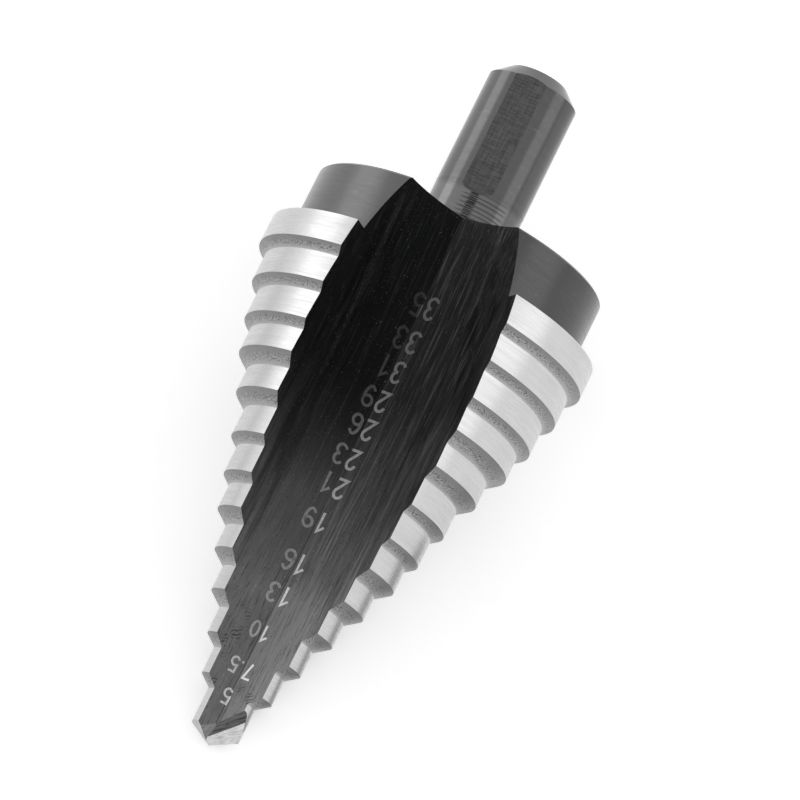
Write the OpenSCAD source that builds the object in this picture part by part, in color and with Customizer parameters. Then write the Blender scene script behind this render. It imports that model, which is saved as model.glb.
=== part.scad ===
// Step drill ground from one bar: a flatted shank, a collar, thirteen stepped
// cutting diameters, two straight flutes and a split point.
// It lies as it comes to rest, on one flute, with the point touching the surface
// and the other flute facing up. +X is towards the point, +Z is up.
// The drill is first built upright, point down: X to the right of the front
// flute, -Y out of the front flute, Z up the axis from the point.

/* [Step diameters] */
// First step, next to the collar
step_1_d = 35; // [34:0.5:38]
// Second step
step_2_d = 33; // [32:0.5:34]
// Third step
step_3_d = 31; // [30:0.5:32]
// Fourth step
step_4_d = 29; // [27.5:0.5:30]
// Fifth step
step_5_d = 26; // [24.5:0.5:27.5]
// Sixth step
step_6_d = 23; // [22:0.5:24.5]
// Seventh step
step_7_d = 21; // [20:0.5:22]
// Eighth step
step_8_d = 19; // [17.5:0.5:20]
// Ninth step
step_9_d = 16; // [14.5:0.5:17.5]
// Tenth step
step_10_d = 13; // [11.5:0.5:14.5]
// Eleventh step
step_11_d = 10; // [9:0.25:11.5]
// Twelfth step
step_12_d = 7.5; // [6.5:0.25:8.5]
// Pilot diameter at the point
pilot_d = 5; // [4.5:0.1:5.75]

/* [Step lengths] */
// First step, from its shoulder to its cutting corner
step_1_len = 2.9; // [2.4:0.1:4]
// Second step, with its cutting face
step_2_len = 3.65; // [3:0.05:5]
// Third step
step_3_len = 3.7; // [3:0.05:5]
// Fourth step
step_4_len = 3.25; // [3:0.05:5]
// Fifth step
step_5_len = 3.7; // [3:0.05:5]
// Sixth step
step_6_len = 4.1; // [3:0.05:5]
// Seventh step
step_7_len = 3.7; // [3:0.05:5]
// Eighth step
step_8_len = 3.35; // [3:0.05:5]
// Ninth step
step_9_len = 3.7; // [3:0.05:5]
// Tenth step
step_10_len = 3.75; // [3:0.05:5]
// Eleventh step
step_11_len = 3.9; // [3:0.05:5]
// Twelfth step
step_12_len = 3.75; // [3:0.05:5]
// Pilot, from the last cutting face to the tip of the point
pilot_len = 6.05; // [5.4:0.05:7]
// Angle of the cutting faces between steps, from the axis
face_angle = 52; // [45:1:60]
// Radius in the corner below each cutting face
corner_r = 0.3; // [0.1:0.05:0.4]

/* [Collar and shank] */
// Collar diameter
collar_d = 30.8; // [28:0.2:32.5]
// Collar length
collar_len = 6.35; // [4:0.05:8]
// Bevel round the back rim of the collar
collar_bevel = 0.2; // [0.1:0.05:0.5]
// Shank diameter, three eighths of an inch
shank_d = 9.525; // [8:0.005:12.7]
// Shank length behind the collar
shank_len = 18.4; // [16:0.1:25]
// Length of the bevel on the end of the shank
shank_bevel_len = 1.55; // [0.8:0.05:2]
// How far the end bevel narrows the shank, on the radius
shank_bevel_r = 1.65; // [0.8:0.05:2]
// Radius where the shank meets the collar
shank_root_r = 0.4; // [0.2:0.05:0.8]
// Number of flats for the chuck jaws
flat_count = 3; // [2:1:4]
// Diameter beside the collar, where the shank is left as turned, up to the flats
turned_d = 9.5; // [7.975:0.005:9.5]
// Depth of each flat
flat_depth = 0.3; // [0.15:0.05:0.5]
// Full round left between the flats and the collar
flat_gap = 3.55; // [2:0.05:8]
// Radius at which each flat runs out
flat_runout_r = 1; // [0.6:0.1:2]
// Turn of the first flat about the axis, from the front flute
flat_turn = -5; // [-30:1:30]

/* [Flutes] */
// Radius of the grinding wheel at its edge
wheel_r = 41; // [34:0.5:55]
// Height above the tip where the wheel starts to lift out
lift_height = 30.8; // [27:0.2:34]
// Radius of each rounded side of the wheel
wheel_side_r = 15.2; // [14:0.1:17]
// Half of the angle of the wheel's edge
wheel_edge_half = 66.3; // [62:0.1:69]
// Distance from the axis to the bottom of the flute, where the wheel lifts
core_half = 0.5; // [0.4:0.05:1.5]
// How much the bottom of the flute slopes out towards the tip, in degrees
core_slope = 0.7; // [0:0.1:1.2]
// Sideways offset of the flute from the axis
flute_offset = 0.2; // [0:0.05:0.5]

/* [Point] */
// Included angle of the point
point_angle = 118; // [100:1:135]
// Relief behind each lip, in degrees
lip_relief = 11; // [6:1:14]
// Height above the tip at which the lip meets the flute
lip_height = 1.6; // [1.4:0.1:2]
// Direction of the steep clearance face at the heel, about the axis
heel_turn = 82; // [80:0.5:84]
// Slope of that face, from the axis
heel_slope = 22.5; // [21:0.5:24]
// Direction of the notch's rake face about the axis
notch_rake_turn = 49.3; // [47:0.1:52]
// Slope of that face, from the axis
notch_rake_slope = 19.4; // [17:0.1:21]
// How far that face cuts in past the tip
notch_rake_in = 0.26; // [0.1:0.01:0.35]
// Radius of the notch's round floor
notch_r = 1.2; // [1:0.05:1.4]
// Slope of the floor's run, from the axis
notch_run_slope = 49.3; // [46:0.1:52]
// Turn of that run, from straight right to the front
notch_run_turn = 14.9; // [12:0.1:18]
// Place of the middle of the round: left of the axis
notch_left = 0.88; // [0.8:0.01:0.96]
// In front of the axis
notch_front = 1.48; // [1.4:0.01:1.6]
// Above the tip
notch_up = 0.55; // [0.45:0.01:0.65]

/* [Hidden] */
$fn = 144;

// Radii and lengths from the collar to the point
radii = [step_1_d, step_2_d, step_3_d, step_4_d, step_5_d, step_6_d, step_7_d,
         step_8_d, step_9_d, step_10_d, step_11_d, step_12_d, pilot_d] / 2;
lengths = [step_1_len, step_2_len, step_3_len, step_4_len, step_5_len, step_6_len,
           step_7_len, step_8_len, step_9_len, step_10_len, step_11_len, step_12_len,
           pilot_len];
last = len(radii) - 1;

// Height of the cutting corner of step i above the tip
function corner_z(i) = i >= last ? 0 : lengths[i + 1] + corner_z(i + 1);
// Height of the foot of the cutting face below step i
function foot_z(i) = corner_z(i) - (radii[i] - radii[i + 1]) / tan(face_angle);

shoulder_z = corner_z(0) + step_1_len;
collar_top_z = shoulder_z + collar_len;
overall_len = collar_top_z + shank_len;
collar_r = collar_d / 2;
shank_r = shank_d / 2;
shank_face_r = shank_r - shank_bevel_r;
turned_r = turned_d / 2;
flat_from_z = collar_top_z + flat_gap + flat_runout_r;
past = 1;

// Distance from the axis to the bottom of a flute, below the lift
function flute_floor(z) = core_half + (lift_height - z) * tan(core_slope);

// Height of a point above the wheel's edge path, for depth d from the axis
function wheel_height(z, d) =
    let (along = (z - lift_height) * cos(core_slope) - (d - core_half) * sin(core_slope),
         above = (z - lift_height) * sin(core_slope) + (d - core_half) * cos(core_slope),
         past_lift = max(along, 0))
    wheel_r - sqrt(pow(wheel_r - above, 2) + pow(past_lift, 2));

// Half of the wheel's width at height h above its edge
function wheel_half_width(h) =
    sqrt(pow(wheel_side_r, 2) - pow(h - wheel_side_r * sin(wheel_edge_half), 2))
    - wheel_side_r * cos(wheel_edge_half);

// Angle from the front at which the flute's wall meets radius r at height z,
// by halving: side is -1 for the left wall and 1 for the right one
function wall_angle(r, z, side, low = 5, high = 75, turns = 22) =
    let (mid = (low + high) / 2,
         inside = side * -flute_offset
                  + wheel_half_width(wheel_height(z, r * cos(mid))) > r * sin(mid))
    turns == 0 ? mid
    : inside ? wall_angle(r, z, side, mid, high, turns - 1)
    : wall_angle(r, z, side, low, mid, turns - 1);

// Slopes of the flank behind the left lip, to the right and to the front,
// and the height of the lip's outer corner above the tip
lip_turn = 90 + wall_angle(pilot_d / 2, lip_height, -1);
flank_x = cos(lip_turn) / tan(point_angle / 2) - sin(lip_turn) * tan(lip_relief);
flank_d = sin(lip_turn) / tan(point_angle / 2) + cos(lip_turn) * tan(lip_relief);
lip_z = pilot_d / 2 * (flank_x * cos(lip_turn) + flank_d * sin(lip_turn));

// The drill rolls until both corners of step 1 touch, then tips onto the next point
// that touches, below the first step: a corner of another step, or the lip's corner
left_0 = wall_angle(radii[0], corner_z(0), -1);
right_0 = wall_angle(radii[0], corner_z(0), 1);
rest_roll = (left_0 - right_0) / 2;
function depth_at(r, z, side) = r * cos(wall_angle(r, z, side) + side * rest_roll);
rest_depth = depth_at(radii[0], corner_z(0), -1);
function touch_slope(r, z, side) = (rest_depth - depth_at(r, z, side)) / (corner_z(0) - z);
touch_slopes = concat(
    [for (i = [1 : last - 1], side = [-1, 1]) touch_slope(radii[i], corner_z(i), side)],
    [touch_slope(radii[last], lip_z, -1)]);
rest_tilt = atan(min(touch_slopes));
rest_z = rest_depth * cos(rest_tilt) - corner_z(0) * sin(rest_tilt);
rest_x = (overall_len * cos(rest_tilt) + shank_face_r * sin(rest_tilt)) / 2;

// Places its children as the drill lies: the shank towards -X, the front flute up
module laid_down() {
    translate([rest_x, 0, rest_z])
        rotate([0, rest_tilt - 90, 0])
            rotate([0, 0, 90 + rest_roll])
                children();
}

// Fills the corner at [r, z] between a round land and the cutting face above it
module corner_fill(r, z) {
    reach = corner_r * tan(face_angle / 2);
    difference() {
        polygon([[r - past / 2, z - reach], [r, z - reach],
                 [r + corner_r, z - reach],
                 [r + reach * sin(face_angle), z + reach * cos(face_angle)],
                 [r - past / 2, z + reach * cos(face_angle)]]);
        translate([r + corner_r, z - reach])
            circle(r = corner_r);
    }
}

// Half section of the turned blank, from the tip to the end of the shank
module blank_section() {
    steps = [for (i = [last - 1 : -1 : 0], k = [0, 1])
        k == 0 ? [radii[i + 1], foot_z(i)] : [radii[i], corner_z(i)]];
    polygon(concat(
        [[0, -past], [pilot_d / 2, -past]],
        steps,
        [[radii[0], shoulder_z],
         [collar_r, shoulder_z],
         [collar_r, collar_top_z - collar_bevel],
         [collar_r - collar_bevel, collar_top_z],
         [turned_r, collar_top_z],
         [turned_r, flat_from_z],
         [shank_r, flat_from_z],
         [shank_r, overall_len - shank_bevel_len],
         [shank_face_r, overall_len],
         [0, overall_len]]));
    for (i = [0 : last - 1])
        corner_fill(radii[i + 1], foot_z(i));
    // Radius at the root of the shank
    difference() {
        translate([turned_r - past, collar_top_z - past])
            square([past + shank_root_r, past + shank_root_r]);
        translate([turned_r + shank_root_r, collar_top_z + shank_root_r])
            circle(r = shank_root_r);
    }
}

// Section of the grinding wheel, its edge at the origin and its body along -X
module wheel_section() {
    intersection_for (side = [-1, 1])
        translate([-wheel_side_r * sin(wheel_edge_half), side * wheel_side_r * cos(wheel_edge_half)])
            circle(r = wheel_side_r);
}

// What the wheel grinds out of the front: straight below the lift, round above it
module flute() {
    translate([-flute_offset, -core_half, lift_height])
        rotate([-core_slope, 0, 0]) {
            translate([0, -wheel_r, 0])
                rotate([0, 90, 0])
                    rotate(90)
                        rotate_extrude(angle = 90)
                            translate([wheel_r, 0])
                                wheel_section();
            translate([0, 0, -lift_height - 2 * past])
                linear_extrude(lift_height + 2 * past)
                    rotate(90)
                        wheel_section();
        }
}

// Everything outside a ground face: out is its outward direction, and off is how far
// it passes from the tip
module beyond_face(out, off = 0, reach = 30) {
    rotate([0, acos(out[2] / norm(out)), atan2(out[1], out[0])])
        translate([-reach, -reach, off])
            cube([2 * reach, 2 * reach, reach]);
}

// Outward direction of a face of the point, from its turn about the axis and its slope
function ground_out(turn, slope) = [cos(turn) * cos(slope), -sin(turn) * cos(slope), -sin(slope)];

// One flat for a chuck jaw, on the front of the shank, with its run-out
module shank_flat() {
    flat_y = shank_r - flat_depth;
    translate([-shank_r, -flat_y - 2 * shank_r, flat_from_z])
        cube([2 * shank_r, 2 * shank_r, shank_len]);
    translate([-shank_r, -flat_y - flat_runout_r, flat_from_z])
        rotate([0, 90, 0])
            cylinder(r = flat_runout_r, h = 2 * shank_r);
}

// Places its children along the round floor of the notch, with X across it towards the tip
module along_notch() {
    translate([-notch_left, -notch_front, notch_up])
        rotate([0, notch_run_slope, -notch_run_turn])
            children();
}

// The faces ground on one side of the point
module point_grind(reach = 30) {
    // Flank behind the left lip
    beyond_face([flank_x, -flank_d, -1]);
    // Right of the notch's rake face: its round floor, and the steep clearance at the heel
    // below that
    intersection() {
        beyond_face(ground_out(notch_rake_turn, notch_rake_slope), -notch_rake_in);
        union() {
            along_notch()
                cylinder(r = notch_r, h = 2 * reach, center = true);
            intersection() {
                beyond_face(ground_out(heel_turn, heel_slope));
                along_notch()
                    translate([-notch_r / 3, -reach, -reach])
                        cube([reach, 2 * reach, 2 * reach]);
            }
        }
    }
}

module step_drill() {
    color([0.62, 0.62, 0.63])
        laid_down()
            difference() {
                // The seam of the round faces falls in the front flute and the first flat
                rotate(flat_turn - 90)
                    rotate_extrude()
                        blank_section();
                for (turn = [0, 180])
                    rotate([0, 0, turn]) {
                        flute();
                        point_grind();
                    }
                for (i = [0 : flat_count - 1])
                    rotate([0, 0, flat_turn + i * 360 / flat_count])
                        shank_flat();
            }
}

step_drill();
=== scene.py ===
import math

import bmesh
import bpy
from bpy.props import FloatProperty, FloatVectorProperty, PointerProperty
from mathutils import Matrix, Vector
from mathutils.bvhtree import BVHTree


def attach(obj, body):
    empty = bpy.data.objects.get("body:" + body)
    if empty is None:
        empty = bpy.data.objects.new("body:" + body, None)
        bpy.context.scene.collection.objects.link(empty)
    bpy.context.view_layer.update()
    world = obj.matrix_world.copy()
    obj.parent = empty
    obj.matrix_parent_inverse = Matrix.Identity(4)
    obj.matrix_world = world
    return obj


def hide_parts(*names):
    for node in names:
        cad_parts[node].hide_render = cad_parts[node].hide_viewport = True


bl_info = {
    "name": "Step drill",
    "version": (1, 0, 0),
    "blender": (4, 5, 0),
    "location": "View3D > Sidebar > Step drill",
    "description": "Dresses a two-flute step drill with ground, turned and blackened steel",
    "category": "Object",
}

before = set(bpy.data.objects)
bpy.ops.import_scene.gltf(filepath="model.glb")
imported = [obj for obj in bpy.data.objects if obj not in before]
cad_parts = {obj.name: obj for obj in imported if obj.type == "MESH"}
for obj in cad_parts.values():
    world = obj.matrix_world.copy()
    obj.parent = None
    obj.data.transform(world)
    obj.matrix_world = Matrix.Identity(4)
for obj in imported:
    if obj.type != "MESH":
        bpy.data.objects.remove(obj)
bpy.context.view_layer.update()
NODE = "step_drill"
MM = 0.001

# The drill upright, point down, in millimetres: X right of the front flute, -Y out of it, Z up
# from the tip
TIP = (0.0360199, 0, 0.00121767)
TILT = math.radians(16.6151)
ROLL = math.radians(0.678654)
DRILL_TO_ROW = (
    Matrix.Translation(TIP)
    @ Matrix.Rotation(TILT - math.pi / 2, 4, "Y")
    @ Matrix.Rotation(math.pi / 2 + ROLL, 4, "Z")
)
UPRIGHT = Matrix.Scale(1 / MM, 4) @ DRILL_TO_ROW.inverted()
LAID_DOWN = DRILL_TO_ROW @ Matrix.Scale(MM, 4)

# Diameter of each step and the height of its cutting corner above the tip
STEPS = (
    (35, 46.6), (33, 42.95), (31, 39.25), (29, 36), (26, 32.3), (23, 28.2), (21, 24.5),
    (19, 21.15), (16, 17.45), (13, 13.7), (10, 9.8), (7.5, 6.05),
)
PILOT_D = 5
FACE_ANGLE = math.radians(52)
CORNER_R = 0.3
COLLAR_R = 15.4
COLLAR_FROM = 49.5
COLLAR_TO = 55.85
COLLAR_BEVEL = 0.2
SHANK_R = 4.7625
SHANK_END = 74.25
TURNED_R = 4.75
FLAT_DEPTH = 0.3
FLAT_FROM = 60.4

# Ground faces of the point: outward direction as right, front and up, and distance from the tip
POINT_FACES = (
    ("rake", (0.615, 0.715, -0.332), -0.26),
    ("heel", (0.129, 0.915, -0.383), 0.0),
    ("flank", (-0.485, 0.224, -0.846), 0.0),
)
# The ground faces of the point end below this height
POINT_TOP = 4.4
# The notch of the point is part of a cylinder: a place on its axis, its direction and its radius
NOTCH_MIDDLE = Vector((-0.88, 1.48, 0.55))
NOTCH_RUN = Vector((0.7326, 0.1949, 0.6521))
NOTCH_R = 1.2
NOTCH_TURN = Vector((NOTCH_RUN.x, -NOTCH_RUN.y, NOTCH_RUN.z)).to_track_quat("Z", "Y").to_euler()


class DrillBodySettings(bpy.types.PropertyGroup):
    """Colours and finishes of the steel"""

    land_color: FloatVectorProperty(
        name="Ground steps", description="Colour of the ground round steps",
        default=(0.555, 0.555, 0.555), subtype="COLOR", min=0, max=1)
    face_color: FloatVectorProperty(
        name="Cutting faces", description="Colour of the cutting faces between the steps",
        default=(0.33, 0.33, 0.33), subtype="COLOR", min=0, max=1)
    collar_color: FloatVectorProperty(
        name="Collar", description="Colour of the turned collar",
        default=(0.125, 0.125, 0.125), subtype="COLOR", min=0, max=1)
    shank_color: FloatVectorProperty(
        name="Shank", description="Colour of the shank",
        default=(0.125, 0.125, 0.125), subtype="COLOR", min=0, max=1)
    flat_color: FloatVectorProperty(
        name="Chuck flats", description="Colour of the flats on the shank",
        default=(0.085, 0.085, 0.085), subtype="COLOR", min=0, max=1)
    oxide_dark: FloatVectorProperty(
        name="Flute at the collar", description="Colour of the blackened flutes by the collar",
        default=(0.003, 0.0034, 0.0034), subtype="COLOR", min=0, max=1)
    oxide_light: FloatVectorProperty(
        name="Flute at the point", description="Colour of the worn grey flutes by the point",
        default=(0.27, 0.272, 0.272), subtype="COLOR", min=0, max=1)
    point_color: FloatVectorProperty(
        name="Point", description="Colour of the freshly ground faces of the point",
        default=(0.62, 0.62, 0.62), subtype="COLOR", min=0, max=1)


class DrillMarkSettings(bpy.types.PropertyGroup):
    """Sizes and colour of the diameters marked in the front flute"""

    digit_scale: FloatProperty(
        name="Digit size", description="Size of the marked diameters, where 1 is as marked",
        default=1.0, min=0.5, max=1.2)
    raise_by: FloatProperty(
        name="Raise", description="How far a mark stands off the flute",
        default=0.012 * MM, subtype="DISTANCE", unit="LENGTH", min=0.002 * MM)
    mark_color: FloatVectorProperty(
        name="Marks", description="Colour of the marks",
        default=(1.0, 1.0, 1.0), subtype="COLOR", min=0, max=1)


class DrillStageSettings(bpy.types.PropertyGroup):
    """Floor and light"""

    floor_color: FloatVectorProperty(
        name="Floor", description="Colour of the floor",
        default=(0.9, 0.9, 0.9), subtype="COLOR", min=0, max=1)
    left_power: FloatProperty(
        name="Left softbox", description="Power of the softbox on the left",
        default=0.44, unit="POWER", min=0)
    right_power: FloatProperty(
        name="Right softbox", description="Power of the softbox on the right",
        default=0.34, unit="POWER", min=0)
    sky_level: FloatProperty(
        name="Sky", description="Strength of the surrounding light",
        default=0.75, min=0)
    glow: FloatProperty(
        name="Floor glow", description="How much whiter the floor is where it is seen",
        default=0.4, min=0)


# Node helpers


def set_socket(tree, socket, value):
    """Links a socket to another one, or gives it a value."""
    if isinstance(value, bpy.types.NodeSocket):
        tree.links.new(value, socket)
    else:
        socket.default_value = value


def add_node(tree, kind, sockets=None, **values):
    """Adds a node, and sets its attributes and, by name or number, its sockets."""
    n = tree.nodes.new(kind)
    for key, value in values.items():
        setattr(n, key, value)
    for key, value in (sockets or {}).items():
        set_socket(tree, n.inputs[key], value)
    return n


def new_group(name, inputs, outputs):
    """Starts a shader node group and returns it with its input and output nodes."""
    group = bpy.data.node_groups.new(name, "ShaderNodeTree")
    for socket, kind, value in inputs:
        made = group.interface.new_socket(socket, in_out="INPUT", socket_type=kind)
        if value is not None:
            made.default_value = value
    for socket, kind in outputs:
        group.interface.new_socket(socket, in_out="OUTPUT", socket_type=kind)
    return group, group.nodes.new("NodeGroupInput"), group.nodes.new("NodeGroupOutput")


def place_group(tree, group, sockets):
    """Adds a node group to a tree and sets its sockets by name."""
    return add_node(tree, "ShaderNodeGroup", node_tree=group, sockets=sockets)


def maths(tree, operation, a, b=None, c=None, clamp=False):
    """The result of a Math node."""
    sockets = {i: v for i, v in enumerate((a, b, c)) if v is not None}
    return add_node(
        tree, "ShaderNodeMath", operation=operation, use_clamp=clamp, sockets=sockets).outputs[0]


def times(tree, first, *others):
    """The product of all the values."""
    for value in others:
        first = maths(tree, "MULTIPLY", first, value)
    return first


def less(tree, value, part):
    """The value with a part of it, from 0 to 1, taken off."""
    return times(tree, value, maths(tree, "SUBTRACT", 1.0, part))


def ramp(tree, value, low, high, smooth=False):
    """A level that rises from 0 to 1 while the value goes from low to high."""
    return add_node(
        tree, "ShaderNodeMapRange", interpolation_type="SMOOTHSTEP" if smooth else "LINEAR",
        sockets={"Value": value, "From Min": low, "From Max": high}).outputs["Result"]


def window(tree, value, start, end, soft):
    """1 between two values and 0 outside them, over a soft border."""
    return times(
        tree, ramp(tree, value, start - soft, start + soft, smooth=True),
        ramp(tree, value, end + soft, end - soft, smooth=True))


def grey_ramp(tree, value, stops):
    """A level that follows a value through stops, each a value and its level."""
    low, high = stops[0][0], stops[-1][0]
    n = add_node(tree, "ShaderNodeValToRGB", sockets={0: ramp(tree, value, low, high)})
    elements = n.color_ramp.elements
    for i, (at, level) in enumerate(stops):
        at = (at - low) / (high - low)
        element = elements[i] if i < 2 else elements.new(at)
        element.position = at
        element.color = (level, level, level, 1)
    return n.outputs[0]


def mix_value(tree, factor, a, b):
    """A value between two values."""
    return add_node(tree, "ShaderNodeMix", sockets={0: factor, 2: a, 3: b}).outputs[0]


def mix_color(tree, factor, a, b, blend="MIX"):
    """A colour between two colours."""
    a, b = (c if isinstance(c, bpy.types.NodeSocket) else (*c[:3], 1) for c in (a, b))
    return add_node(tree, "ShaderNodeMix", data_type="RGBA", blend_type=blend,
                    sockets={0: factor, 6: a, 7: b}).outputs[2]


def shade(color, factor):
    """A colour made darker or lighter."""
    return tuple(min(1, c * factor) for c in color)


def drill_space_group():
    """Turns a point of the row into millimetres on the drill: right, back and up from the tip."""
    group, given, out = new_group(
        "drill_space", [("Point", "NodeSocketVector", None)],
        [("Drill point", "NodeSocketVector"), ("Height", "NodeSocketFloat")])
    place = add_node(group, "ShaderNodeMapping", vector_type="TEXTURE", sockets={
        "Vector": given.outputs[0], "Location": DRILL_TO_ROW.translation,
        "Rotation": DRILL_TO_ROW.to_euler("XYZ"), "Scale": (MM, MM, MM)})
    parts = add_node(group, "ShaderNodeSeparateXYZ", sockets={0: place.outputs[0]})
    group.links.new(place.outputs[0], out.inputs[0])
    group.links.new(parts.outputs[2], out.inputs[1])
    return group


def grain_group(name, output, detail, roughness):
    """A noise stretched by a scale for each direction, as a level from 0 at Low to 1 at High."""
    group, given, out = new_group(
        name,
        [("Drill point", "NodeSocketVector", None), ("Stretch", "NodeSocketVector", (1, 1, 1)),
         ("Low", "NodeSocketFloat", 0.35), ("High", "NodeSocketFloat", 0.65)],
        [(output, "NodeSocketFloat")])
    scaled = add_node(group, "ShaderNodeVectorMath", operation="MULTIPLY",
                      sockets={0: given.outputs[0], 1: given.outputs[1]})
    grain = add_node(group, "ShaderNodeTexNoise", sockets={
        "Vector": scaled.outputs[0], "Scale": 1.0, "Detail": detail, "Roughness": roughness})
    level = ramp(group, grain.outputs["Fac"], given.outputs[2], given.outputs[3])
    group.links.new(level, out.inputs[0])
    return group


class Finish:
    """One material on the drill, with its place in drill space ready to use."""

    groups = {}

    def __init__(self, name, metallic=1.0, specular=0.5):
        if not Finish.groups:
            Finish.groups.update(
                space=drill_space_group(),
                streaks=grain_group("streaks", "Lines", detail=3.0, roughness=0.65),
                specks=grain_group("specks", "Specks", detail=2.0, roughness=0.5))
        self.material = bpy.data.materials.new(name)
        self.material.use_nodes = True
        self.tree = self.material.node_tree
        self.shader = self.tree.nodes["Principled BSDF"]
        self.shader.inputs["Metallic"].default_value = metallic
        self.shader.inputs["Specular IOR Level"].default_value = specular
        coords = add_node(self.tree, "ShaderNodeTexCoord")
        space = place_group(self.tree, Finish.groups["space"], {"Point": coords.outputs["Object"]})
        self.point = space.outputs["Drill point"]
        self.height = space.outputs["Height"]

    def parts(self):
        """The place to the right, to the back and up, each as a value."""
        return add_node(self.tree, "ShaderNodeSeparateXYZ", sockets={0: self.point}).outputs

    def streaks(self, stretch, low=0.35, high=0.65):
        """Fine lines along the direction with the smallest stretch, from 0 to 1."""
        return place_group(self.tree, Finish.groups["streaks"], {
            "Drill point": self.point, "Stretch": stretch, "Low": low, "High": high}).outputs[0]

    def specks(self, stretch, threshold, softness):
        """Scattered small marks: near 1 in each speck and 0 between them."""
        return place_group(self.tree, Finish.groups["specks"], {
            "Drill point": self.point, "Stretch": stretch, "Low": threshold,
            "High": threshold + softness}).outputs[0]

    def finish(self, color, rough, bump, depth):
        """Links the colour, the roughness and a bump with its depth in millimetres."""
        normal = add_node(self.tree, "ShaderNodeBump", sockets={
            "Height": bump, "Distance": depth * MM, "Strength": 1.0})
        links = {"Base Color": color, "Roughness": rough, "Normal": normal.outputs[0]}
        for name, socket in links.items():
            self.tree.links.new(socket, self.shader.inputs[name])
        return self.material


# Finishes

# Turned rings at the root of the shank: start, end and soft border, across and up, and their pitch
RINGS_ACROSS = (-1.5, 3.1, 0.35)
RINGS_UP = (56, 59.9, 0.35)
ROOT_UP = (55, 59.9, 0.35)
RINGS_PITCH = 0.46


def ground_finish(name, color, contrast=0.12, rough=(0.2, 0.34), depth=0.004,
                  speck=0.0, right=1.0, rings=False):
    """Round ground steel: fine lines round the axis, and painted shade that darkens its right side
    by the factor right.
    """
    f = Finish(name)
    t = f.tree
    fine = f.streaks((0.3, 0.3, 11), 0.3, 0.7)
    broad = f.streaks((0.1, 0.1, 2.2))
    lines = mix_value(t, 0.35, fine, broad)
    across, back, _ = f.parts()
    base = mix_color(t, lines, shade(color, 1 - contrast), shade(color, 1 + contrast * 0.6))
    # Painted shade: the right side of the steel is darkened by the factor right
    if right != 1:
        side = ramp(t, across, -3, 3, smooth=True)
        base = mix_color(t, side, base, mix_color(t, 1.0, base, (right,) * 3, "MULTIPLY"))
    if speck:
        spots = times(t, f.specks((4, 4, 7), 0.62, 0.08), speck)
        base = mix_color(t, spots, base, shade(color, 0.35))
        scuffs = times(t, f.streaks((1.2, 1.2, 5), 0.62, 0.75), 0.3)
        base = mix_color(t, scuffs, base, shade(color, 2.2))
    if rings:
        root = mix_color(t, 1.0, base, (1.35,) * 3, "MULTIPLY")
        base = mix_color(t, window(t, f.height, *ROOT_UP), base, root)
        where = times(t, window(t, across, *RINGS_ACROSS), window(t, f.height, *RINGS_UP),
                      maths(t, "LESS_THAN", back, 0))
        wobble = maths(t, "MULTIPLY_ADD", broad, 0.14, f.height)
        groove = maths(t, "SINE", times(t, wobble, 2 * math.pi / RINGS_PITCH))
        groove = times(t, where, ramp(t, groove, -0.2, 0.7))
        base = mix_color(t, times(t, groove, 0.5), base, shade(color, 0.12))
        fine = maths(t, "SUBTRACT", fine, times(t, groove, 3))
    return f.finish(base, mix_value(t, lines, rough[1], rough[0]), fine, depth)


def cutting_face_finish(color):
    """Cutting faces between the steps: speckled grey, with fine lines round the axis."""
    f = Finish("cutting_face_steel")
    t = f.tree
    below = add_node(t, "ShaderNodeAttribute", attribute_name="below_corner").outputs["Fac"]
    fine = f.streaks((0.5, 0.5, 9), 0.3, 0.7)
    cloud = f.streaks((1.1, 1.1, 1.6))
    spots = f.specks((6, 6, 8), 0.5, 0.07)
    base = mix_color(
        t, ramp(t, below, 0.08, 0.8, smooth=True), shade(color, 0.68), shade(color, 1.25))
    dull = times(t, mix_value(t, 0.5, fine, cloud), 0.45)
    base = mix_color(t, dull, base, shade(color, 0.62))
    middle = times(t, ramp(t, below, 0.15, 0.45, smooth=True), ramp(t, below, 1, 0.7, smooth=True))
    base = mix_color(t, times(t, spots, 0.8, middle), base, shade(color, 0.22))
    return f.finish(base, mix_value(t, cloud, 0.46, 0.34), mix_value(t, 0.5, fine, spots), 0.012)


# Wear of the two walls of a flute by height above the tip, from 0, black, to 1, pale; the left wall
# is kept darker than the right as painted shade
LEFT_WEAR_AND_SHADE = (
    (0, 0.52), (7.6, 0.54), (11.4, 0.5), (15, 0.56), (19, 0.44), (22.5, 0.38), (26, 0.34),
    (29.5, 0.19), (34, 0.065), (38, 0.025), (56, 0.02),
)
RIGHT_WEAR = (
    (0, 1.0), (7.6, 1.0), (11, 1.0), (15, 0.98), (19, 0.6), (22.5, 0.5), (26, 0.36),
    (29.5, 0.3), (34, 0.22), (38, 0.12), (56, 0.11),
)
# Places in a flute, each with its start, end and soft border across or up
# Painted shade along the valley at the bottom of a flute, where its walls meet: its place across
VALLEY_SHADE_ACROSS = (-0.32, -0.2, 0.03)
LEFT_CHATTER_ACROSS = (-3.3, -1.7, 0.3)
LEFT_CHATTER_UP = ((4.0, 6.2, 0.4), (8.4, 13.3, 0.9))
RIGHT_CHATTER_ACROSS = (0.2, 2.3, 0.3)
RIGHT_CHATTER_UP = (4.6, 6.6, 0.5)
LONG_LINES_ACROSS = ((4.3, 4.7, 0.25), (-6.1, -5.75, 0.2))
LONG_LINES_UP = (37, 54, 3)
CHATTER_TILT = 0.55
CHATTER_PERIOD = 0.34
# Period of a wave texture of scale 1
WAVE_PERIOD = 0.314


def wall_sides(f):
    """Place across a flute, to the right on both flutes, and 1 on its right wall."""
    x, y, _ = f.parts()
    front = maths(f.tree, "LESS_THAN", y, 0)
    across = times(f.tree, x, maths(f.tree, "MULTIPLY_ADD", front, 2, -1))
    return across, ramp(f.tree, across, -0.22, -0.18, smooth=True)


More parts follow.
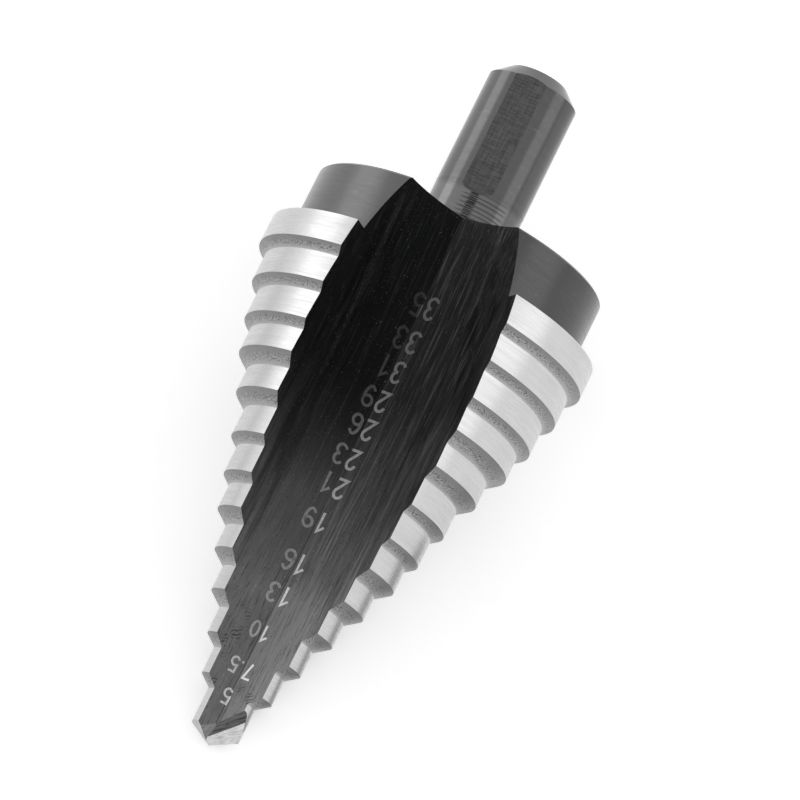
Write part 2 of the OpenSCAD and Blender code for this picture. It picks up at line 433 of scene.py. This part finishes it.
def chatter(f, across):
    """Short dark tool marks in scattered clusters, across the lower flute."""
    t = f.tree
    blobs = f.specks((1.3, 0.5, 0.8), 0.49, 0.05)
    turned = add_node(t, "ShaderNodeMapping", vector_type="POINT", sockets={
        "Vector": f.point, "Rotation": (0, CHATTER_TILT, 0)})
    wave = add_node(t, "ShaderNodeTexWave", bands_direction="Z", sockets={
        "Vector": turned.outputs[0], "Scale": WAVE_PERIOD / CHATTER_PERIOD, "Distortion": 5.0,
        "Detail": 2.0, "Detail Scale": 2.2, "Detail Roughness": 0.6})
    cuts = ramp(t, wave.outputs["Fac"], 0.5, 0.22)
    left = times(t, window(t, across, *LEFT_CHATTER_ACROSS), maths(
        t, "MAXIMUM", *(window(t, f.height, *rows) for rows in LEFT_CHATTER_UP)))
    right = times(
        t, window(t, across, *RIGHT_CHATTER_ACROSS), window(t, f.height, *RIGHT_CHATTER_UP))
    return times(t, blobs, cuts, maths(t, "MAXIMUM", left, right))


def flute_finish(dark, light):
    """Blackened flutes: black by the collar, worn grey by the point, scratched along the axis, with
    the left wall darker as painted shade.
    """
    f = Finish("black_oxide_flute", metallic=0.35, specular=0.1)
    t = f.tree
    across, right = wall_sides(f)
    # Painted shade: the left wall follows lower levels than the right
    wear_and_shade = mix_value(
        t, right, grey_ramp(t, f.height, LEFT_WEAR_AND_SHADE), grey_ramp(t, f.height, RIGHT_WEAR))

    scratches = f.streaks((4.5, 0.4, 0.22), 0.38, 0.66)
    fine = f.streaks((11, 0.8, 0.45), 0.36, 0.68)
    lines = maths(t, "SUBTRACT", mix_value(t, 0.55, scratches, fine), 0.45)
    depth = mix_value(t, right, 0.4, 1.0)
    wear_and_shade = times(t, wear_and_shade, maths(t, "MULTIPLY_ADD", lines, depth, 1.0))

    rims = maths(t, "MAXIMUM", ramp(t, across, 2.6, 6, smooth=True),
                 ramp(t, across, -3.2, -6, smooth=True))
    wear_and_shade = less(t, wear_and_shade, times(t, rims, f.streaks((0.55, 0.55, 0.05), 0.44, 0.6), 0.6))

    low = ramp(t, f.height, 30, 12, smooth=True)
    torn = times(t, f.specks((7, 7, 0.4), 0.6, 0.06), low, 0.55)
    pits = times(t, f.specks((6, 6, 4), 0.66, 0.04), 0.6)
    # Painted shade: a dark line along the valley of the lower flute
    valley_shade = times(
        t, window(t, across, *VALLEY_SHADE_ACROSS), ramp(t, f.height, 34, 22, smooth=True), 0.4)
    dark_marks_and_valley_shade = times(t, chatter(f, across), 0.6)
    # Tool marks, torn specks and pits, with the painted shade of the valley
    for other in (valley_shade, torn, pits):
        dark_marks_and_valley_shade = maths(t, "MAXIMUM", dark_marks_and_valley_shade, other)
    wear_and_shade = less(t, wear_and_shade, dark_marks_and_valley_shade)

    dust = times(t, f.specks((6, 6, 4.5), 0.67, 0.04), 0.3)
    hair = times(t, f.streaks((6, 0.3, 0.13), 0.53, 0.68), mix_value(t, right, 0.07, 0.3))
    long_lines = maths(t, "ADD", *(window(t, across, *at) for at in LONG_LINES_ACROSS))
    long_lines = times(t, long_lines, window(t, f.height, *LONG_LINES_UP),
                       f.streaks((11, 11, 0.1), 0.42, 0.62), 0.14)
    pale_marks = maths(t, "ADD", maths(t, "ADD", dust, hair), long_lines)
    wear_and_shade = maths(t, "ADD", wear_and_shade, pale_marks, clamp=True)

    return f.finish(mix_color(t, wear_and_shade, dark, light), mix_value(t, fine, 0.45, 0.62),
                    mix_value(t, 0.5, scratches, fine), 0.01)


def flat_finish(color):
    """Milled chuck flats: dark and rough, with faint crossing scratches."""
    f = Finish("milled_flat", metallic=0.8)
    t = f.tree
    cross = f.streaks((0.6, 0.6, 7), 0.35, 0.7)
    long = f.streaks((7, 7, 0.5), 0.35, 0.7)
    grain = f.specks((8, 8, 8), 0.45, 0.3)
    base = mix_color(t, mix_value(t, 0.5, cross, long), shade(color, 0.65), shade(color, 1.7))
    base = mix_color(t, times(t, grain, 0.4), base, shade(color, 0.45))
    return f.finish(base, mix_value(t, cross, 0.62, 0.5), mix_value(t, 0.5, cross, grain), 0.012)


def point_finish(name, color, stretch, turn, low=0.75, high=1.1, rough=(0.25, 0.4)):
    """A face of the point: grinding lines along one direction of the face."""
    f = Finish(name)
    t = f.tree
    x, y, z = f.parts()
    side = maths(t, "MULTIPLY_ADD", maths(t, "LESS_THAN", y, 0), 2, -1)
    front = add_node(t, "ShaderNodeCombineXYZ", sockets={
        0: times(t, x, side), 1: times(t, y, side), 2: z})
    f.point = add_node(t, "ShaderNodeMapping", vector_type="TEXTURE", sockets={
        "Vector": front.outputs[0], "Rotation": turn}).outputs[0]
    lines = f.streaks(stretch, 0.3, 0.7)
    base = mix_color(t, lines, shade(color, low), shade(color, high))
    return f.finish(base, mix_value(t, lines, rough[1], rough[0]), lines, 0.006)


# Brightness of the marks on the two walls of the flute, by height above the tip; the left wall's
# lower levels are painted shade
MARKS_LEFT = (
    (4, 0.56), (8, 0.5), (12, 0.36), (16, 0.36), (20, 0.3), (28, 0.28), (31, 0.24),
    (34.5, 0.18), (37.5, 0.11), (41, 0.07), (47, 0.055),
)
MARKS_RIGHT = (
    (4, 1.0), (8, 1.0), (12, 0.9), (16, 0.85), (20, 0.68), (28, 0.55), (31, 0.5),
    (34.5, 0.42), (37.5, 0.34), (41, 0.26), (47, 0.2),
)


def mark_finish(color):
    """Pale marks: dim in the black upper flute, brighter where it is worn, and dimmer on the left
    wall as painted shade.
    """
    f = Finish("flute_marks", metallic=0.5, specular=0.1)
    t = f.tree
    _, right = wall_sides(f)
    # Painted shade: the marks on the left wall follow lower levels
    level = mix_value(
        t, right, grey_ramp(t, f.height, MARKS_LEFT), grey_ramp(t, f.height, MARKS_RIGHT))
    worn = mix_value(t, 0.5, f.streaks((9, 9, 3), 0.3, 0.7), f.specks((7, 7, 7), 0.4, 0.25))
    level = times(t, level, maths(t, "MULTIPLY_ADD", worn, 0.5, 0.8))
    return f.finish(
        mix_color(t, level, (0, 0, 0), color), mix_value(t, worn, 0.7, 0.5), worn, 0.006)


# Drill body

# How near the middle of a face lies to its surface, in millimetres, and the least cosine between
# the face and the direction that it should face
NEAR_CURVE = 0.03
NEAR_PLANE = 0.01
NEAR_COLLAR_TOP = 0.004
NEAR_COLLAR_FOOT = 0.003
STRAIGHT = 0.99

FINISHES = ("land", "face", "corner", "collar", "shank", "shank_end", "flat", "flute",
            "flank", "heel", "notch", "rake")
# Vertices closer than this, in metres, are joined
WELD = 0.002 * MM
# Edges are sharp past these angles: within one finish, and between two
SHARP_WITHIN = math.radians(35)
SHARP_BETWEEN = math.radians(2)


def step_rows():
    """Radius, height of the cutting corner and radius of the next step, from the collar down."""
    radii = [d / 2 for d, _ in STEPS] + [PILOT_D / 2]
    return [(radii[i], corner, radii[i + 1]) for i, (_, corner) in enumerate(STEPS)]


def foot_of(r, corner, r_next):
    """Height of the foot of a step's cutting face."""
    return corner - (r - r_next) / math.tan(FACE_ANGLE)


def point_finish_of(centre, normal):
    """The ground face of the point that a face lies on, or None."""
    for side in (1, -1):
        place = Vector((side * centre.x, -side * centre.y, centre.z))
        out = Vector((side * normal.x, -side * normal.y, normal.z))
        for name, direction, off in POINT_FACES:
            if abs(place.dot(direction) - off) < 0.02 and out.dot(direction) > STRAIGHT:
                return name
        arm = place - NOTCH_MIDDLE
        arm -= arm.dot(NOTCH_RUN) * NOTCH_RUN
        if abs(arm.length - NOTCH_R) < NEAR_CURVE and arm.normalized().dot(out) < -0.97:
            return "notch"
    return None


def shank_finish_of(centre, normal, radius):
    """The finish of a face above the collar."""
    out = centre.x * normal.x + centre.y * normal.y
    if normal.z > STRAIGHT and centre.z > SHANK_END - NEAR_PLANE:
        return "shank_end"
    if abs(normal.z) < 0.01 and abs(out - (SHANK_R - FLAT_DEPTH)) < NEAR_PLANE:
        return "flat"
    if FLAT_FROM - 1 < centre.z < FLAT_FROM and radius < TURNED_R - 0.025:
        return "flat"
    return "shank"


def collar_finish_of(centre, normal, radius, radial):
    """The finish of a face of the collar, or None below it."""
    if abs(centre.z - COLLAR_TO) <= NEAR_COLLAR_TOP and normal.z > STRAIGHT:
        return "collar"
    off_bevel = radius + centre.z - COLLAR_R - COLLAR_TO + COLLAR_BEVEL
    if normal.z > 0.5 and abs(off_bevel) < NEAR_CURVE:
        return "collar"
    if centre.z > COLLAR_FROM + 0.001:
        on_side = radial > STRAIGHT and abs(radius - COLLAR_R) < NEAR_CURVE
        return "collar" if on_side else "flute"
    if abs(centre.z - COLLAR_FROM) < NEAR_COLLAR_FOOT and normal.z > STRAIGHT:
        return "land"
    return None


def finish_of(centre, normal):
    """The finish of a face by its centre and outward normal on the upright drill."""
    radius = math.hypot(centre.x, centre.y)
    radial = (centre.x * normal.x + centre.y * normal.y) / max(radius, 1e-6)
    if centre.z > COLLAR_TO + NEAR_COLLAR_TOP:
        return shank_finish_of(centre, normal, radius)
    found = collar_finish_of(centre, normal, radius, radial)
    if found is None and centre.z < POINT_TOP:
        found = point_finish_of(centre, normal)
    if found:
        return found
    diameters = [d for d, _ in STEPS] + [PILOT_D]
    if radial > 0.995 and any(abs(radius - d / 2) < NEAR_CURVE for d in diameters):
        return "land"
    reach = CORNER_R * math.tan(FACE_ANGLE / 2)
    for r, corner, r_next in step_rows():
        foot = foot_of(r, corner, r_next)
        if not foot - 1 < centre.z < corner + NEAR_PLANE or radial <= 0.5:
            continue
        off_cone = ((radius - r_next) * math.cos(FACE_ANGLE)
                    - (centre.z - foot) * math.sin(FACE_ANGLE))
        if normal.z < -0.7 and abs(off_cone) < NEAR_CURVE:
            return "face"
        off_round = math.hypot(radius - r_next - CORNER_R, centre.z - foot + reach) - CORNER_R
        if abs(off_round) < NEAR_CURVE:
            return "corner"
    return "flute"


def below_corner(co):
    """How far a point of a cutting face lies below its corner: 0 at the corner, 1 at the foot."""
    radius = math.hypot(co.x, co.y)
    for r, corner, r_next in step_rows():
        if co.z > foot_of(r, corner, r_next) - CORNER_R:
            past_foot = 0.25 if radius < r_next + 0.02 else 0
            return max(0.0, min(1.3, (r - radius) / (r - r_next) + past_foot))
    return 0.0


def body_materials(settings):
    """The material of each finish."""
    point = settings.point_color
    materials = {
        "land": ground_finish("ground_steps", settings.land_color),
        "face": cutting_face_finish(settings.face_color),
        # The collar and the shank get painted shade on their right side
        "collar": ground_finish("turned_collar", settings.collar_color, rough=(0.2, 0.3),
                                depth=0.003, speck=0.25, right=0.62),
        "shank": ground_finish("turned_shank", settings.shank_color, contrast=0.1,
                               rough=(0.12, 0.2), depth=0.003, speck=0.3, right=0.8, rings=True),
        "flat": flat_finish(settings.flat_color),
        "flute": flute_finish(settings.oxide_dark, settings.oxide_light),
        # The flank, notch and rake are darker copies of the point's one colour: painted shade,
        # standing in for the dark surroundings that these ground faces mirror
        "flank": point_finish("point_flank", shade(point, 0.8), (1, 14, 1), (0, 0, 0.7)),
        "heel": point_finish("point_clearance", point, (9, 9, 1.2), NOTCH_TURN, 0.62, 1.3),
        "notch": point_finish("point_notch", shade(point, 0.12), (9, 9, 0.7), NOTCH_TURN, 0.3, 2.4),
        "rake": point_finish("point_rake", shade(point, 0.3), (5, 5, 1), NOTCH_TURN, 0.7, 1.3,
                             rough=(0.35, 0.5)),
    }
    materials["corner"] = materials["face"]
    materials["shank_end"] = materials["shank"]
    return materials


class OBJECT_OT_step_drill_body(bpy.types.Operator):
    """Makes the drill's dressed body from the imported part"""

    bl_idname = "object.step_drill_body"
    bl_label = "Drill body"

    def execute(self, context):
        bm = bmesh.new()
        bm.from_mesh(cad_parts[NODE].data)
        bmesh.ops.remove_doubles(bm, verts=bm.verts, dist=WELD)
        bmesh.ops.transform(bm, matrix=UPRIGHT, verts=bm.verts)
        bm.normal_update()
        depth = bm.verts.layers.float.new("below_corner")
        for vert in bm.verts:
            vert[depth] = below_corner(vert.co)
        kinds = {}
        for face in bm.faces:
            kinds[face.index] = finish_of(face.calc_center_median(), face.normal)
            face.smooth = True
            face.material_index = FINISHES.index(kinds[face.index])
        for edge in bm.edges:
            if len(edge.link_faces) != 2:
                continue
            a, b = (kinds[f.index] for f in edge.link_faces)
            blends = a == b or ("corner" in (a, b) and a != "flute" and b != "flute")
            edge.smooth = edge.calc_face_angle(0) <= (SHARP_WITHIN if blends else SHARP_BETWEEN)
        bmesh.ops.transform(bm, matrix=LAID_DOWN, verts=bm.verts)
        mesh = bpy.data.meshes.new("drill_body")
        bm.to_mesh(mesh)
        bm.free()
        for name in ("custom_normal", "sharp_face"):
            found = mesh.attributes.get(name)
            if found:
                mesh.attributes.remove(found)
        materials = body_materials(context.scene.step_drill_body)
        for kind in FINISHES:
            mesh.materials.append(materials[kind])
        body = bpy.data.objects.new("drill_body", mesh)
        context.scene.collection.objects.link(body)
        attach(body, "root")
        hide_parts(NODE)
        return {"FINISHED"}


# Marked diameters

# Each diameter with the place of its digits in the front flute, right and up, and their height.
# They are read with the point upwards, so each digit is turned half round.
MARKS = (
    ("35", ((0.78, 47.30), (-0.61, 47.30)), 2.3),
    ("33", ((0.59, 43.83), (-0.79, 43.83)), 2.3),
    ("31", ((0.48, 40.69), (-0.94, 40.71)), 2.3),
    ("29", ((0.33, 37.50), (-1.07, 37.49)), 2.25),
    ("26", ((0.36, 34.43), (-1.05, 34.47)), 2.25),
    ("23", ((0.25, 31.14), (-1.15, 31.16)), 2.25),
    ("21", ((0.41, 27.99), (-1.00, 28.04)), 2.25),
    ("19", ((0.26, 24.15), (-1.04, 24.18)), 2.2),
    ("16", ((0.26, 19.56), (-1.03, 19.55)), 2.2),
    ("13", ((0.32, 16.03), (-0.98, 16.02)), 2.1),
    ("10", ((0.12, 11.94), (-0.93, 12.02)), 1.75),
    ("7.5", ((0.38, 7.93), (-0.51, 8.58), (-1.20, 8.02)), 1.7),
    ("5", ((-0.50, 4.96),), 1.7),
)
# Width of a pen stroke, for a digit of height 1, and the highest and lowest line of its middle
PEN = 0.125
TOP = 1 - PEN / 2
FOOT = PEN / 2
# A digit is cut along the valley of the flute and at these distances, in millimetres
VALLEY = -0.2
CUT_ACROSS = 0.22
CUT_UP = 0.25
# A place in front of the drill, from which the marks are laid back onto the steel
IN_FRONT = -40


def arc(x, y, rx, ry, start, end, steps=14):
    """Points of an ellipse round x, y, from one angle to another in degrees."""
    angles = [math.radians(start + (end - start) * i / steps) for i in range(steps + 1)]
    return [(x + rx * math.cos(a), y + ry * math.sin(a)) for a in angles]


SIX = arc(0, 0.5, 0.2, 0.5 - FOOT, 42, 180) + arc(0, 0.29, 0.2, 0.29 - FOOT, 180, 540, 24)
# Pen strokes of each digit: middle of the foot at 0, 0 and a height of 1
DIGITS = {
    "0": [arc(0, 0.5, 0.2, 0.5 - FOOT, 90, 450, 28)],
    "1": [[(-0.19, 0.66), (0.06, 0.93), (0.06, 0)]],
    "2": [arc(0, 0.7, 0.19, TOP - 0.7, 172, -28) + [(-0.19, FOOT), (0.23, FOOT)]],
    "3": [arc(-0.01, 0.715, 0.18, TOP - 0.715, 158, -90),
          arc(-0.01, 0.2825, 0.2, 0.2825 - FOOT, 90, -158)],
    "5": [[(0.19, TOP), (-0.14, TOP), (-0.17, 0.5)] + arc(0, 0.31, 0.2, 0.31 - FOOT, 128, -152)],
    "6": [SIX],
    "7": [[(-0.21, TOP), (0.2, TOP), (-0.06, 0)]],
    "9": [[(-x, 1 - y) for x, y in SIX]],
    ".": [[(0, 0.43), (0, 0.57)]],
}


def pen_stroke(bm, points):
    """One pen stroke: a short edge across its start, extruded from point to point."""
    points = [Vector(p) for p in points]
    closed = (points[0] - points[-1]).length < 1e-6
    sides = []
    for i, point in enumerate(points):
        after = (points[i + 1] - point).normalized() if i + 1 < len(points) else None
        before = (point - points[i - 1]).normalized() if i else after
        after = after or before
        if closed and i in (0, len(points) - 1):
            before = (points[-1] - points[-2]).normalized()
            after = (points[1] - points[0]).normalized()
        across = Vector((-before.y - after.y, before.x + after.x)).normalized()
        across *= PEN / 2 / max(0.5, across.dot(Vector((-before.y, before.x))))
        sides.append(((point + across).to_3d(), (point - across).to_3d()))
    edge = bm.edges.new([bm.verts.new(co) for co in sides[0]])
    for was, now in zip(sides, sides[1:]):
        made = bmesh.ops.extrude_edge_only(bm, edges=[edge])["geom"]
        verts = [g for g in made if isinstance(g, bmesh.types.BMVert)]
        edge = next(g for g in made
                    if isinstance(g, bmesh.types.BMEdge) and all(v in verts for v in g.verts))
        verts.sort(key=lambda v: (v.co - was[0]).length)
        for vert, co in zip(verts, now):
            vert.co = co


def digit_mesh(bm, digit, place, height):
    """Adds a digit, flat at its place in the flute, finely cut so that it can follow the steel."""
    made = bmesh.new()
    for points in DIGITS[digit]:
        pen_stroke(made, points)
    bmesh.ops.remove_doubles(made, verts=made.verts, dist=0.001)
    for vert in made.verts:
        vert.co = Vector((place[0] - vert.co.x * height, 0, place[1] - (vert.co.y - 0.5) * height))
    cuts = [((VALLEY, 0, 0), (1, 0, 0))]
    cuts += [((place[0] + i * CUT_ACROSS, 0, 0), (1, 0, 0)) for i in range(-3, 4)]
    cuts += [((0, 0, place[1] + i * CUT_UP), (0, 0, 1)) for i in range(-5, 6)]
    for at, normal in cuts:
        bmesh.ops.bisect_plane(made, geom=made.verts[:] + made.edges[:] + made.faces[:],
                               dist=1e-4, plane_co=at, plane_no=normal)
    mesh = bpy.data.meshes.new("digit")
    made.to_mesh(mesh)
    made.free()
    bm.from_mesh(mesh)
    bpy.data.meshes.remove(mesh)


class OBJECT_OT_step_drill_marks(bpy.types.Operator):
    """Lays the marked diameters in the front flute"""

    bl_idname = "object.step_drill_marks"
    bl_label = "Marked diameters"

    def execute(self, context):
        settings = context.scene.step_drill_marks
        steel = bmesh.new()
        steel.from_mesh(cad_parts[NODE].data)
        bmesh.ops.transform(steel, matrix=UPRIGHT, verts=steel.verts)
        wall = BVHTree.FromBMesh(steel)
        steel.free()
        bm = bmesh.new()
        for text, places, height in MARKS:
            for digit, place in zip(text, places):
                digit_mesh(bm, digit, place, height * settings.digit_scale)
        for vert in bm.verts:
            at = wall.ray_cast(Vector((vert.co.x, IN_FRONT, vert.co.z)), Vector((0, 1, 0)))[0]
            if at is None:
                raise RuntimeError("a mark misses the flute")
            vert.co = at
        # Each mark reaches as far into the steel as it stands off it
        raised = Vector((0, -settings.raise_by / MM, 0))
        made = bmesh.ops.extrude_face_region(bm, geom=bm.faces[:])["geom"]
        top = [g for g in made if isinstance(g, bmesh.types.BMVert)]
        bmesh.ops.translate(bm, verts=bm.verts, vec=-raised)
        bmesh.ops.translate(bm, verts=top, vec=raised * 2)
        bmesh.ops.recalc_face_normals(bm, faces=bm.faces)
        bmesh.ops.transform(bm, matrix=LAID_DOWN, verts=bm.verts)
        mesh = bpy.data.meshes.new("marked_diameters")
        bm.to_mesh(mesh)
        bm.free()
        mesh.materials.append(mark_finish(settings.mark_color))
        marks = bpy.data.objects.new("marked_diameters", mesh)
        context.scene.collection.objects.link(marks)
        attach(marks, "root")
        return {"FINISHED"}


# Stage

# Half the side of the floor, in metres
FLOOR_HALF = 3
WHITE = (1, 1, 1, 1)
# Softboxes: place and size in metres, and the setting of their power. They face the drill.
SOFTBOXES = (
    ("left_softbox", (-0.08, -0.59, 0.13), (0.55, 0.25), "left_power"),
    ("right_softbox", (-0.06, 0.55, 0.25), (0.55, 0.3), "right_power"),
)
DRILL_MIDDLE = Vector((0, 0, 0.015))
# Glowing grey sheets that only the steel's mirrored rays see, painting dark reflections: on the
# floor beside the drill in place of its shade, and above it: brightness, and corners in millimetres
CARDS = (
    ("left_card", 0.85, ((-33, -95, 1), (24, -22, 1), (26, -16, 1), (-23, -52, 1))),
    ("right_card", 0.42, ((5, 25, 1), (33, 5.5, 1), (33, 3, 1), (6, 16.5, 1))),
    ("top_card", 0.02, ((-70, -240, 600), (70, -240, 600), (70, -10, 600), (-70, -10, 600))),
)
# Camera: place in metres, turn in degrees and lens in millimetres
CAMERA_AT = (0.199307, 0.03258, 0.3741803)
CAMERA_TURN = (28.081944, -8.587479, 114.388001)
CAMERA_LENS = 190.66549


def seen_rays(tree):
    """1 on camera, glossy and transmission rays, on which the background is seen."""
    path = add_node(tree, "ShaderNodeLightPath")
    seen = maths(tree, "ADD", path.outputs["Is Camera Ray"], path.outputs["Is Glossy Ray"])
    return maths(tree, "ADD", seen, path.outputs["Is Transmission Ray"], clamp=True)


def plain_material(name, sockets):
    """A material without textures, set by the shader's sockets."""
    material = bpy.data.materials.new(name)
    material.use_nodes = True
    shader = material.node_tree.nodes["Principled BSDF"]
    for socket, value in sockets.items():
        shader.inputs[socket].default_value = value
    return material


def stage_object(scene, name, bm, material):
    """An object of the stage from its mesh, put into the scene."""
    mesh = bpy.data.meshes.new(name)
    bm.to_mesh(mesh)
    bm.free()
    mesh.materials.append(material)
    made = bpy.data.objects.new(name, mesh)
    scene.collection.objects.link(made)
    return made


def add_floor(scene, settings):
    """The pale floor, a little whiter where it is seen."""
    bm = bmesh.new()
    bmesh.ops.create_grid(bm, x_segments=1, y_segments=1, size=FLOOR_HALF)
    paint = plain_material("floor_paint", {
        "Base Color": (*settings.floor_color, 1), "Roughness": 0.9, "Emission Color": WHITE})
    tree = paint.node_tree
    glow = times(tree, seen_rays(tree), settings.glow)
    tree.links.new(glow, tree.nodes["Principled BSDF"].inputs["Emission Strength"])
    floor = stage_object(scene, "floor", bm, paint)


def add_sky(scene, settings):
    """The soft light from all sides, white where it is seen."""
    world = bpy.data.worlds.new("studio")
    scene.world = world
    world.use_nodes = True
    tree = world.node_tree
    back = tree.nodes["Background"]
    back.inputs["Color"].default_value = WHITE
    level = maths(tree, "MULTIPLY_ADD", seen_rays(tree), 1 - settings.sky_level, settings.sky_level)
    tree.links.new(level, back.inputs["Strength"])


def add_softbox(scene, name, at, size, power):
    """A rectangular lamp that faces the drill."""
    data = bpy.data.lights.new(name, "AREA")
    data.shape = "RECTANGLE"
    data.size, data.size_y = size
    data.energy = power
    lamp = bpy.data.objects.new(name, data)
    aim = (DRILL_MIDDLE - Vector(at)).to_track_quat("-Z", "Y")
    lamp.matrix_world = Matrix.Translation(at) @ aim.to_matrix().to_4x4()
    lamp.visible_camera = False
    scene.collection.objects.link(lamp)


def add_card(scene, name, brightness, corners):
    """A glowing grey sheet that only mirrored rays see, painting a dark reflection in the steel."""
    mirrored_shade = plain_material(name + "_felt", {
        "Base Color": (0, 0, 0, 1), "Specular IOR Level": 0, "Roughness": 1,
        "Emission Color": WHITE, "Emission Strength": brightness})
    bm = bmesh.new()
    bm.faces.new([bm.verts.new(Vector(c) * MM) for c in corners])
    bmesh.ops.recalc_face_normals(bm, faces=bm.faces)
    card = stage_object(scene, name, bm, mirrored_shade)
    card.visible_camera = card.visible_diffuse = card.visible_shadow = False
    card.visible_transmission = card.visible_volume_scatter = False


def add_camera(scene):
    """The camera, looking down on the drill."""
    data = bpy.data.cameras.new("camera")
    data.sensor_width = 36
    data.lens = CAMERA_LENS
    data.clip_start, data.clip_end = 0.02, 10
    camera = bpy.data.objects.new("camera", data)
    camera.location = CAMERA_AT
    camera.rotation_euler = [math.radians(a) for a in CAMERA_TURN]
    scene.collection.objects.link(camera)
    scene.camera = camera


class OBJECT_OT_step_drill_stage(bpy.types.Operator):
    """Sets the floor, the lights and the camera"""

    bl_idname = "object.step_drill_stage"
    bl_label = "Floor, light and camera"

    def execute(self, context):
        scene = context.scene
        settings = scene.step_drill_stage
        add_floor(scene, settings)
        add_sky(scene, settings)
        for name, at, size, power in SOFTBOXES:
            add_softbox(scene, name, at, size, getattr(settings, power))
        for name, brightness, corners in CARDS:
            add_card(scene, name, brightness, corners)
        add_camera(scene)
        scene.view_settings.view_transform = "Standard"
        return {"FINISHED"}


class VIEW3D_PT_step_drill(bpy.types.Panel):
    """Lists the drill's pieces and its stage"""

    bl_label = "Step drill"
    bl_space_type = "VIEW_3D"
    bl_region_type = "UI"
    bl_category = "Step drill"

    def draw(self, context):
        layout = self.layout
        for settings, operator in (
            (context.scene.step_drill_body, OBJECT_OT_step_drill_body),
            (context.scene.step_drill_marks, OBJECT_OT_step_drill_marks),
            (context.scene.step_drill_stage, OBJECT_OT_step_drill_stage),
        ):
            box = layout.box()
            for name in settings.__annotations__:
                box.prop(settings, name)
            box.operator(operator.bl_idname)


CLASSES = (
    DrillBodySettings, DrillMarkSettings, DrillStageSettings,
    OBJECT_OT_step_drill_body, OBJECT_OT_step_drill_marks, OBJECT_OT_step_drill_stage,
    VIEW3D_PT_step_drill,
)


def register():
    for c in CLASSES:
        bpy.utils.register_class(c)
    bpy.types.Scene.step_drill_body = PointerProperty(type=DrillBodySettings)
    bpy.types.Scene.step_drill_marks = PointerProperty(type=DrillMarkSettings)
    bpy.types.Scene.step_drill_stage = PointerProperty(type=DrillStageSettings)


def unregister():
    del bpy.types.Scene.step_drill_stage
    del bpy.types.Scene.step_drill_marks
    del bpy.types.Scene.step_drill_body
    for c in reversed(CLASSES):
        bpy.utils.unregister_class(c)


def main():
    register()
    bpy.ops.object.step_drill_body()
    bpy.ops.object.step_drill_marks()
    bpy.ops.object.step_drill_stage()


if __name__ == "__main__":
    main()
